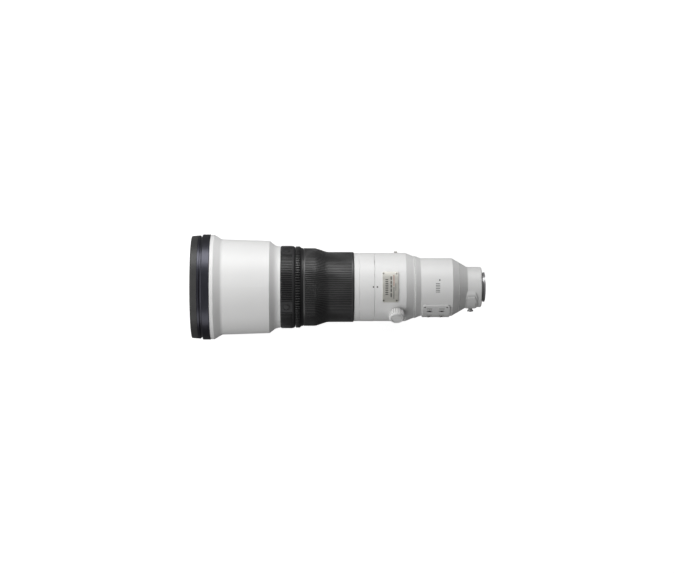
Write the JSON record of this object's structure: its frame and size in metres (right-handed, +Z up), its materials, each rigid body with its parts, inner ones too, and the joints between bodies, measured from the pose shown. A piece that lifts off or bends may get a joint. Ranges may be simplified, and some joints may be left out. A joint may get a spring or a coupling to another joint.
{
  "type": "super-telephoto camera lens",
  "caption": "White super-telephoto camera lens with turning tripod collar and foot, ribbed focus ring, hold buttons, switch panel, drop-in filter and bayonet mount.",
  "frame": {"origin": "centre of the camera mount's flange face, on the optical axis", "axes": "+X along the optical axis towards the camera body, so -X is the front of the lens; +Z up, with the foot below; +Y to the photographer's right"},
  "size_m": [0.4546, 0.1636, 0.1798],
  "materials": {
    "white_paint": "satin",
    "gloss_black": "gloss",
    "satin_black": "satin",
    "matte_black_plastic": "matte",
    "black_plastic": "satin",
    "rubber": "matte",
    "lens_glass": "polished",
    "nickel": "satin",
    "steel": "satin",
    "chrome": "polished",
    "gold": "polished",
    "circuit_board": "satin",
    "bearing_plastic": "matte"
  },
  "bodies": {
    "collar": {"tripod_collar": "white_paint", "collar_liner": "bearing_plastic", "nameplate": "nickel", "nameplate_screws": "steel", "strap_lugs": "steel", "tripod_foot": "white_paint", "foot_screws": "steel"},
    "brake_shoe": {"brake_shoe": "bearing_plastic"},
    "clamp_knob": {"clamp_knob": "white_paint", "clamp_screw": "steel"},
    "barrel": {"front_rubber_ring": "rubber", "front_ring": "gloss_black", "front_element": "lens_glass", "light_baffle": "matte_black_plastic", "front_barrel": "white_paint", "second_cell": "matte_black_plastic", "second_elements": "lens_glass", "main_tube": "satin_black", "guide_rods": "steel", "motor_stator": "satin_black", "button_ring": "black_plastic", "button_grips": "rubber", "middle_barrel": "white_paint", "journal_tube": "satin_black", "iris_stabiliser_housing": "matte_black_plastic", "rear_barrel": "white_paint", "switch_panel": "white_paint", "barrel_screws": "steel", "rear_cell": "matte_black_plastic", "rear_elements": "lens_glass", "main_board": "circuit_board", "mount_barrel": "white_paint", "rear_glass": "lens_glass", "mount_flange": "chrome", "contact_pins": "gold", "contact_block": "black_plastic"},
    "motor_rotor": {"motor_rotor": "satin_black"},
    "focus_group": {"focus_cell": "matte_black_plastic", "focus_element": "lens_glass"},
    "function_ring": {"function_sleeve": "satin_black", "function_grip": "rubber"},
    "focus_ring": {"focus_sleeve": "satin_black", "focus_grip": "rubber"},
    "iris_ring": {"iris_ring": "satin_black"},
    "stabiliser_frame": {"stabiliser_frame": "satin_black"},
    "stabiliser_lens": {"stabiliser_cell": "matte_black_plastic", "stabiliser_element": "lens_glass"},
    "filter_holder": {"filter_holder": "white_paint", "filter_glass": "lens_glass"},
    "filter_latch": {"filter_latch": "steel"},
    "focus_hold_button_upper_right": {"focus_hold_button_upper_right": "black_plastic"},
    "focus_hold_button_upper_left": {"focus_hold_button_upper_left": "black_plastic"},
    "focus_hold_button_lower_left": {"focus_hold_button_lower_left": "black_plastic"},
    "focus_hold_button_lower_right": {"focus_hold_button_lower_right": "black_plastic"},
    "focus_mode_switch": {"focus_mode_switch": "black_plastic"},
    "focus_preset_switch": {"focus_preset_switch": "black_plastic"},
    "distance_range_switch": {"distance_range_switch": "black_plastic"},
    "stabiliser_on_switch": {"stabiliser_on_switch": "black_plastic"},
    "stabiliser_mode_switch": {"stabiliser_mode_switch": "black_plastic"},
    "tone_switch": {"tone_switch": "black_plastic"}
  },
  "joints": [
    {"name": "collar_turn", "type": "hinge", "parent": "collar", "child": "barrel", "pos_m": [0, 0, 0], "axis": [1, 0, 0], "continuous": true},
    {"name": "brake_slide", "type": "slide", "parent": "collar", "child": "brake_shoe", "axis": [0, -0.7314, 0.682], "range_m": [0, 0.001]},
    {"name": "knob_turn", "type": "hinge", "parent": "brake_shoe", "child": "clamp_knob", "pos_m": [-0.1325, -0.04388, 0.04092], "axis": [0, -0.7314, 0.682], "range_deg": [0, 360]},
    {"name": "motor_turn", "type": "hinge", "parent": "barrel", "child": "motor_rotor", "pos_m": [-0.289, 0, 0], "axis": [1, 0, 0], "range_deg": [-40, 100]},
    {"name": "focus_slide", "type": "slide", "parent": "barrel", "child": "focus_group", "axis": [1, 0, 0], "range_m": [-0.0101, 0.0251]},
    {"name": "function_turn", "type": "hinge", "parent": "barrel", "child": "function_ring", "pos_m": [-0.282, 0, 0], "axis": [1, 0, 0], "range_deg": [-10, 10], "stiffness_Nm_per_rad": 0.4},
    {"name": "focus_turn", "type": "hinge", "parent": "barrel", "child": "focus_ring", "pos_m": [-0.235, 0, 0], "axis": [1, 0, 0], "continuous": true},
    {"name": "iris_turn", "type": "hinge", "parent": "barrel", "child": "iris_ring", "pos_m": [-0.157, 0, 0], "axis": [1, 0, 0], "range_deg": [0, 40]},
    {"name": "stabiliser_sideways", "type": "slide", "parent": "barrel", "child": "stabiliser_frame", "axis": [0, 1, 0], "range_m": [-0.001, 0.001]},
    {"name": "stabiliser_upright", "type": "slide", "parent": "stabiliser_frame", "child": "stabiliser_lens", "axis": [0, 0, 1], "range_m": [-0.001, 0.001]},
    {"name": "filter_slide", "type": "slide", "parent": "barrel", "child": "filter_holder", "axis": [0, -1, 0], "range_m": [0, 0.058]},
    {"name": "latch_turn", "type": "hinge", "parent": "filter_holder", "child": "filter_latch", "pos_m": [-0.0166, -0.035, 0], "axis": [0, -1, 0], "range_deg": [0, 90]},
    {"name": "press_upper_right", "type": "slide", "parent": "barrel", "child": "focus_hold_button_upper_right", "axis": [0, -0.8729, -0.4879], "range_m": [0, 0.0008], "stiffness_N_per_m": 800, "springref_m": -0.0005},
    {"name": "press_upper_left", "type": "slide", "parent": "barrel", "child": "focus_hold_button_upper_left", "axis": [0, 0.4879, -0.8729], "range_m": [0, 0.0008], "stiffness_N_per_m": 800, "springref_m": -0.0005},
    {"name": "press_lower_left", "type": "slide", "parent": "barrel", "child": "focus_hold_button_lower_left", "axis": [0, 0.8729, 0.4879], "range_m": [0, 0.0008], "stiffness_N_per_m": 800, "springref_m": -0.0005},
    {"name": "press_lower_right", "type": "slide", "parent": "barrel", "child": "focus_hold_button_lower_right", "axis": [0, -0.4879, 0.8729], "range_m": [0, 0.0008], "stiffness_N_per_m": 800, "springref_m": -0.0005},
    {"name": "focus_mode_slide", "type": "slide", "parent": "barrel", "child": "focus_mode_switch", "axis": [1, 0, 0], "range_m": [-0.002, 0.002]},
    {"name": "focus_preset_slide", "type": "slide", "parent": "barrel", "child": "focus_preset_switch", "axis": [1, 0, 0], "range_m": [-0.002, 0.002]},
    {"name": "distance_range_slide", "type": "slide", "parent": "barrel", "child": "distance_range_switch", "axis": [1, 0, 0], "range_m": [-0.002, 0.002]},
    {"name": "stabiliser_on_slide", "type": "slide", "parent": "barrel", "child": "stabiliser_on_switch", "axis": [1, 0, 0], "range_m": [-0.002, 0.002]},
    {"name": "stabiliser_mode_slide", "type": "slide", "parent": "barrel", "child": "stabiliser_mode_switch", "axis": [1, 0, 0], "range_m": [-0.002, 0.002]},
    {"name": "tone_slide", "type": "slide", "parent": "barrel", "child": "tone_switch", "axis": [1, 0, 0], "range_m": [-0.002, 0.002]}
  ],
  "couplings": [
    {"joint": "brake_slide", "follows": "knob_turn", "m_per_rad": 0.00015915},
    {"joint": "focus_slide", "follows": "motor_turn", "m_per_rad": 0.01432}
  ]
}
